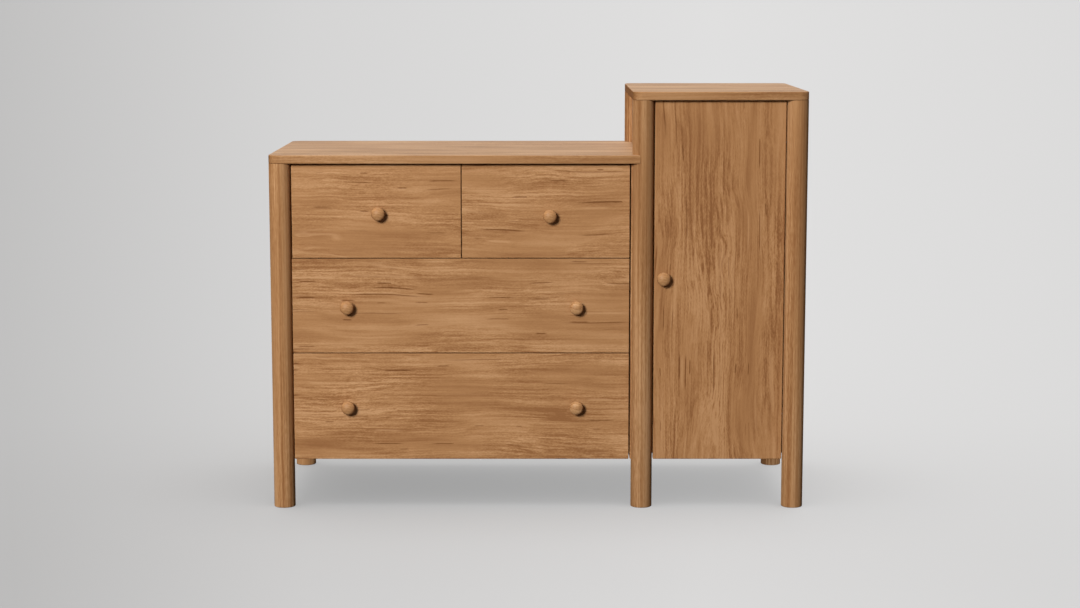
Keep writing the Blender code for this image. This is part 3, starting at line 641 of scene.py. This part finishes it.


# Tops. Two boards of solid wood with the grain along their length, their upper faces paler by a painted
# sheen, their corners rounded to the posts and their edges eased. The low one is coped round the middle
# posts.
def smooth_copy(node, material):
    """A copy of a CAD node with its loose triangles joined, so that its round stretches shade smoothly."""
    source = frame["nodes"][node]
    shape = bmesh.new()
    shape.from_mesh(source.data)
    bmesh.ops.remove_doubles(shape, verts=shape.verts, dist=1e-6)
    mesh = bpy.data.meshes.new(f"{node}_finished")
    shape.to_mesh(mesh)
    shape.free()
    if "custom_normal" in mesh.attributes:
        mesh.attributes.remove(mesh.attributes["custom_normal"])
    mesh.shade_smooth()
    mesh.set_sharp_from_angle(angle=math.radians(20))
    mesh.materials.clear()
    mesh.materials.append(material)
    piece = bpy.data.objects.new(f"{node}_finished", mesh)
    scene.collection.objects.link(piece)
    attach(piece, source["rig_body"])
    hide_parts(node)
    return piece


# The tops' upper faces take a painted sheen: their colour is blended a share toward a pale grey
top_looks = {
    "figure": 0.70,
    "streaks": 0.5,
    "waves": 0.4,
    "length": 1.2,
    "roughness": 0.5,
    "shine": 0.02,
    "painted_sheen": 0.14,
}
top_boards = {}
for top, cut, shade in (("low_top", (0.3, 0.5, 0.10), 0.895), ("tall_top", (2.1, 0.5, 0.10), 0.885)):
    wood = wood_material(f"{top}_wood", top, "X", cut, shade=shade, **top_looks)
    top_boards[top] = smooth_copy(top, wood)
right_side_only.objects.link(top_boards["tall_top"])


# Backs, bottoms, shelves and divider. Plain veneered boards: the backs lie in grooves in the rear posts, the
# bottoms and shelves in housings in the side panels, and the divider stands in one in the drawer shelf.
veneer_colours = {
    "Light Colour": linear(204, 166, 124),
    "Middle Colour": linear(186, 146, 104),
    "Dark Colour": linear(166, 124, 84),
}
for number, (board, grain) in enumerate(
    (
        ("chest_back", "X"),
        ("cabinet_back", "Z"),
        ("chest_bottom", "X"),
        ("cabinet_bottom", "X"),
        ("drawer_shelf", "X"),
        ("lower_shelf", "X"),
        ("upper_shelf", "X"),
        ("drawer_divider", "Y"),
    )
):
    cut = (0.8 * number, 0.10, 0.05 * number - 0.1)
    veneer = wood_material(f"{board}_veneer", board, grain, cut, veneer_colours, figure=0.7, streaks=0.4)
    give_material(board, veneer)


# Drawers. Each box is pale hardwood on a thin plywood bottom and slides on hardwood runners. Its front is
# solid wood with the grain from side to side and eased edges.
box_colours = {
    "Light Colour": linear(226, 200, 164),
    "Middle Colour": linear(214, 184, 144),
    "Dark Colour": linear(196, 163, 121),
}
front_boards = {
    "lower_drawer": {"cut": (0.4, 0.09, 0.06), "shade": 1.0, "figure": 1.0},
    "middle_drawer": {"cut": (1.9, 0.12, -0.10), "shade": 0.98, "figure": 0.94},
    "small_left_drawer": {"cut": (3.3, 0.07, 0.03), "shade": 1.02, "figure": 0.78},
    "small_right_drawer": {"cut": (4.6, 0.10, 0.09), "shade": 1.005, "figure": 0.80},
}
for number, (drawer, looks) in enumerate(front_boards.items()):
    front = f"{drawer}_front"
    give_material(front, wood_material(f"{front}_wood", front, "X", streaks=1.3, **looks))
    for part_number, (part, grain) in enumerate(
        (
            ("left_side", "Y"),
            ("right_side", "Y"),
            ("left_runner", "Y"),
            ("right_runner", "Y"),
            ("back", "X"),
            ("bottom", "X"),
        )
    ):
        board = f"{drawer}_{part}"
        cut = (1.1 * number + 7.0 * part_number, 0.12, 0.08)
        wood = wood_material(f"{board}_wood", board, grain, cut, box_colours, figure=0.6, streaks=0.25)
        give_material(board, wood)


# Door. One solid board with upright grain in longer, wavier lines than the drawers' fronts, and a shade
# darker. It hangs on two hidden pivot hinges at its right-hand edge.
door_colours = {
    "Light Colour": linear(187, 141, 98),
    "Middle Colour": linear(169, 122, 79),
    "Dark Colour": linear(137, 91, 55),
}
door_looks = {"figure": 0.90, "streaks": 1.5, "waves": 1.9, "length": 1.4}
door_cut = (0.2, 0.10, 0.05)
door_wood = wood_material("door_panel_wood", "door_panel", "Z", door_cut, door_colours, **door_looks)
give_material("door_panel", door_wood)
right_side_only.objects.link(frame["nodes"]["door_panel"])


# Knobs. Each is turned from one piece of the same wood as a flattened ball on a short neck, its grain from
# side to side like the front's, and is glued into the front by a tenon.
def knob_tree():
    """A turned knob on each point: a foot, a short neck and an ellipse that runs out to its front."""
    tree = bpy.data.node_groups.new("turned_knobs", "GeometryNodeTree")
    inputs = {
        "Geometry": "Geometry",
        "Radius": "Float",
        "Half Depth": "Float",
        "Length": "Float",
        "Neck Radius": "Float",
        "Foot Radius": "Float",
        "Rings": "Int",
        "Sides": "Int",
        "Wood": "Material",
    }
    add_sockets(tree, "INPUT", inputs)
    add_sockets(tree, "OUTPUT", {"Geometry": "Geometry"})
    given = tree.nodes.new("NodeGroupInput").outputs
    line = add_node(tree, "GeometryNodeMeshLine", {"Count": calculate(tree, "ADD", given["Rings"], 2.0)})
    index = add_node(tree, "GeometryNodeInputIndex").outputs[0]
    share = calculate(tree, "DIVIDE", calculate(tree, "SUBTRACT", index, 1.0), given["Rings"])
    neck_share = calculate(tree, "DIVIDE", given["Neck Radius"], given["Radius"])
    first = calculate(tree, "ARCSINE", neck_share)
    swept = calculate(tree, "MULTIPLY", calculate(tree, "SUBTRACT", math.pi, first), share)
    angle = calculate(tree, "ADD", first, swept)
    back = calculate(tree, "MULTIPLY", calculate(tree, "COSINE", angle), given["Half Depth"])
    middle = calculate(tree, "SUBTRACT", given["Length"], given["Half Depth"])
    reach = calculate(tree, "SUBTRACT", middle, back)
    turned_radius = calculate(tree, "MULTIPLY", calculate(tree, "SINE", angle), given["Radius"])
    is_foot = calculate(tree, "LESS_THAN", index, 0.5)
    rest = calculate(tree, "SUBTRACT", 1.0, is_foot)
    outward = calculate(tree, "MULTIPLY", calculate(tree, "MULTIPLY", reach, rest), -1.0)
    foot_radius = calculate(tree, "MULTIPLY", given["Foot Radius"], is_foot)
    radius = calculate(tree, "MULTIPLY_ADD", turned_radius, rest, foot_radius)
    places = add_node(tree, "ShaderNodeCombineXYZ", {1: outward}).outputs[0]
    solid = turned_solid(tree, line.outputs[0], places, radius, given["Sides"])
    closed = add_node(tree, "GeometryNodeMergeByDistance", {"Geometry": solid, "Distance": 1e-6})
    knobs = add_node(
        tree, "GeometryNodeInstanceOnPoints", {"Points": given["Geometry"], "Instance": closed.outputs[0]}
    )
    finish_tree(tree, knobs.outputs[0], given["Wood"])
    return tree


turned_knobs = knob_tree()
knob_sizes = {
    "Radius": 0.016,
    "Half Depth": 0.0096,
    "Length": 0.026,
    "Neck Radius": 0.0080,
    "Foot Radius": 0.0088,
    "Rings": 28,
    "Sides": 56,
}
knob_colours = {
    "Light Colour": linear(202, 158, 113),
    "Middle Colour": linear(178, 132, 87),
    "Dark Colour": linear(148, 102, 63),
}
knob_looks = {"figure": 0.7, "streaks": 0.2, "roughness": 0.45, "shine": 0.16}
knob_cut = (0.5, 0.08, 0.08)
face_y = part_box("door_panel")[0].y
for body, knobs in (
    ("lower_drawer", ("lower_drawer_left_knob", "lower_drawer_right_knob")),
    ("middle_drawer", ("middle_drawer_left_knob", "middle_drawer_right_knob")),
    ("small_left_drawer", ("small_left_drawer_knob",)),
    ("small_right_drawer", ("small_right_drawer_knob",)),
    ("door", ("door_knob",)),
):
    points = []
    for knob in knobs:
        low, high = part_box(knob)
        points.append(((low.x + high.x) / 2, face_y, (low.z + high.z) / 2))
    wood = wood_material(f"{body}_knob_wood", knobs[0], "X", knob_cut, knob_colours, **knob_looks)
    maker = node_maker(turned_knobs, {**knob_sizes, "Wood": wood}, points)
    plain_piece(f"{body}_knobs_turned", maker, body, knobs)


# Hinges, strike plate and catch. The hinges and the strike are zinc-plated steel, dull and a little uneven;
# the catch under the tall top is a block of dark moulded plastic.
def hardware_material(name, colour, metallic, roughness, unevenness, grain_size):
    """A plain manufactured surface whose gloss and height vary a little in soft spots."""
    material = bpy.data.materials.new(name)
    material.use_nodes = True
    tree = material.node_tree
    shader = tree.nodes["Principled BSDF"]
    place = add_node(tree, "ShaderNodeTexCoord").outputs["Object"]
    spots = add_node(tree, "ShaderNodeTexNoise", {"Vector": place, "Scale": 1 / grain_size, "Detail": 3.0})
    gloss = add_node(
        tree,
        "ShaderNodeMapRange",
        {"Value": spots.outputs[0], "To Min": roughness - unevenness, "To Max": roughness + unevenness},
    )
    shade = add_node(tree, "ShaderNodeMapRange", {"Value": spots.outputs[0], "To Min": 0.8, "To Max": 1.2})
    tint = add_node(tree, "ShaderNodeVectorMath", {0: colour, "Scale": shade.outputs[0]}, operation="SCALE")
    relief = {"Height": spots.outputs[0], "Strength": 0.15, "Distance": 0.0003}
    bump = add_node(tree, "ShaderNodeBump", relief)
    tree.links.new(tint.outputs[0], shader.inputs["Base Color"])
    tree.links.new(gloss.outputs[0], shader.inputs["Roughness"])
    tree.links.new(bump.outputs["Normal"], shader.inputs["Normal"])
    shader.inputs["Metallic"].default_value = metallic
    return material


zinc = hardware_material(
    "zinc_plate", linear(196, 197, 200), metallic=1.0, roughness=0.38, unevenness=0.12, grain_size=0.004
)
dark_plastic = hardware_material(
    "catch_plastic", linear(62, 58, 54), metallic=0.0, roughness=0.5, unevenness=0.08, grain_size=0.0015
)
for node in ("lower_hinge", "upper_hinge", "door_strike"):
    give_material(node, zinc)
give_material("door_catch", dark_plastic)


# Screws. Countersunk steel screws hold the hinge feet, the catch's strike and the two backs. Their heads lie
# almost flush, so each is a thin disc with a cross-shaped recess.
def screw_tree():
    """A screw head on each point, turned to face outward."""
    tree = bpy.data.node_groups.new("screws", "GeometryNodeTree")
    inputs = {
        "Geometry": "Geometry",
        "Head Radius": "Float",
        "Head Height": "Float",
        "Recess Length": "Float",
        "Recess Width": "Float",
        "Outward": "Vector",
        "Steel": "Material",
    }
    add_sockets(tree, "INPUT", inputs)
    add_sockets(tree, "OUTPUT", {"Geometry": "Geometry"})
    given = tree.nodes.new("NodeGroupInput").outputs
    disc = add_node(
        tree,
        "GeometryNodeMeshCylinder",
        {"Vertices": 20, "Radius": given["Head Radius"], "Depth": given["Head Height"]},
    )
    lift = calculate(tree, "MULTIPLY", given["Head Height"], 0.5)
    raised = add_node(tree, "ShaderNodeCombineXYZ", {2: lift}).outputs[0]
    bars = []
    for length, width in (("Recess Length", "Recess Width"), ("Recess Width", "Recess Length")):
        size = add_node(
            tree, "ShaderNodeCombineXYZ", {0: given[length], 1: given[width], 2: given["Head Height"]}
        )
        bar = add_node(tree, "GeometryNodeMeshCube", {"Size": size.outputs[0]})
        place = {"Geometry": bar.outputs[0], "Translation": raised}
        bars.append(add_node(tree, "GeometryNodeTransform", place))
    head = add_node(tree, "GeometryNodeMeshBoolean", {"Mesh 1": disc.outputs[0]}, operation="DIFFERENCE")
    for bar in bars:
        tree.links.new(bar.outputs[0], head.inputs["Mesh 2"])
    turn = add_node(tree, "FunctionNodeAlignRotationToVector", {"Vector": given["Outward"]}, axis="Z")
    heads = add_node(
        tree,
        "GeometryNodeInstanceOnPoints",
        {"Points": given["Geometry"], "Instance": head.outputs[0], "Rotation": turn.outputs[0]},
    )
    finish_tree(tree, heads.outputs[0], given["Steel"])
    return tree


screws = screw_tree()


def add_screws(name, body, points, outward, head_radius):
    """Screws of one size on one face."""
    inputs = {
        "Steel": zinc,
        "Head Height": 0.0005,
        "Head Radius": head_radius,
        "Recess Length": 1.1 * head_radius,
        "Recess Width": 0.3 * head_radius,
        "Outward": outward,
    }
    plain_piece(name, node_maker(screws, inputs, points), body, [])


screw_radius = 0.0036
strike_screw_radius = 0.0030
hinge_foot_thickness = 0.003
foot_screw_inset = 0.012
foot_screws = []
for hinge in ("lower_hinge", "upper_hinge"):
    low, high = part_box(hinge)
    for share in (0.22, 0.78):
        z = low.z + share * (high.z - low.z)
        foot_screws.append((high.x - hinge_foot_thickness, high.y - foot_screw_inset, z))
add_screws("hinge_screws", "case", foot_screws, (-1.0, 0.0, 0.0), screw_radius)

low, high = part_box("door_strike")
strike_screws = [(low.x + share * (high.x - low.x), high.y, (low.z + high.z) / 2) for share in (0.2, 0.8)]
add_screws("strike_screws", "door", strike_screws, (0.0, 1.0, 0.0), strike_screw_radius)

lower_row_inset = 0.016
upper_row_inset = 0.05
back_screws = []
for back in ("chest_back", "cabinet_back"):
    low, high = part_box(back)
    for z in (low.z + lower_row_inset, high.z - upper_row_inset):
        for share in (0.12, 0.37, 0.63, 0.88):
            back_screws.append((low.x + share * (high.x - low.x), high.y, z))
add_screws("back_screws", "case", back_screws, (0.0, 1.0, 0.0), screw_radius)


# Size. The bounds of what is shown, found the same way as the CAD model's at the start.
bpy.context.view_layer.update()
low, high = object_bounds()
